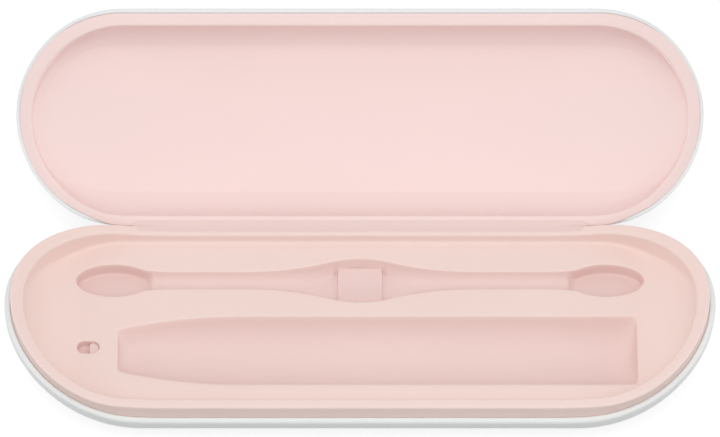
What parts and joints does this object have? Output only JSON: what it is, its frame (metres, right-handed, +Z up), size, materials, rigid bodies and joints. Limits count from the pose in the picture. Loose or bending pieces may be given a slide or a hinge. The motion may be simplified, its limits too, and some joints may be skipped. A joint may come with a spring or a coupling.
{
  "type": "electric toothbrush travel case",
  "caption": "Long clamshell travel case with round ends, a white shell, a pink tray moulded for a toothbrush handle and brush heads, and a hinged lid.",
  "frame": {"origin": "middle of the flat bottom that the case rests on", "axes": "+X along the case to the wide end of the handle bed, +Y towards the hinge, +Z up"},
  "size_m": [0.2382, 0.1389, 0.0654],
  "materials": {
    "white_shell": "smooth gloss",
    "pink_tray": "fine satin",
    "pink_stop": "soft matte",
    "pink_strip": "soft satin",
    "magnet": "plated",
    "steel_plate": "plain"
  },
  "bodies": {
    "base": {"base_shell": "white_shell", "base_tray": "pink_tray", "head_stop": "pink_stop", "slot_plug": "pink_stop", "hinge_strip_base": "pink_strip", "base_magnet_left": "magnet", "base_magnet_right": "magnet"},
    "lid": {"lid_shell": "white_shell", "lid_liner": "pink_tray", "hinge_strip_lid": "pink_strip", "lid_plate_left": "steel_plate", "lid_plate_right": "steel_plate"}
  },
  "joints": [
    {"name": "lid_hinge", "type": "hinge", "parent": "base", "child": "lid", "pos_m": [0, 0.0368, 0.019], "axis": [1, 0, 0], "range_deg": [0, 140.7]}
  ]
}
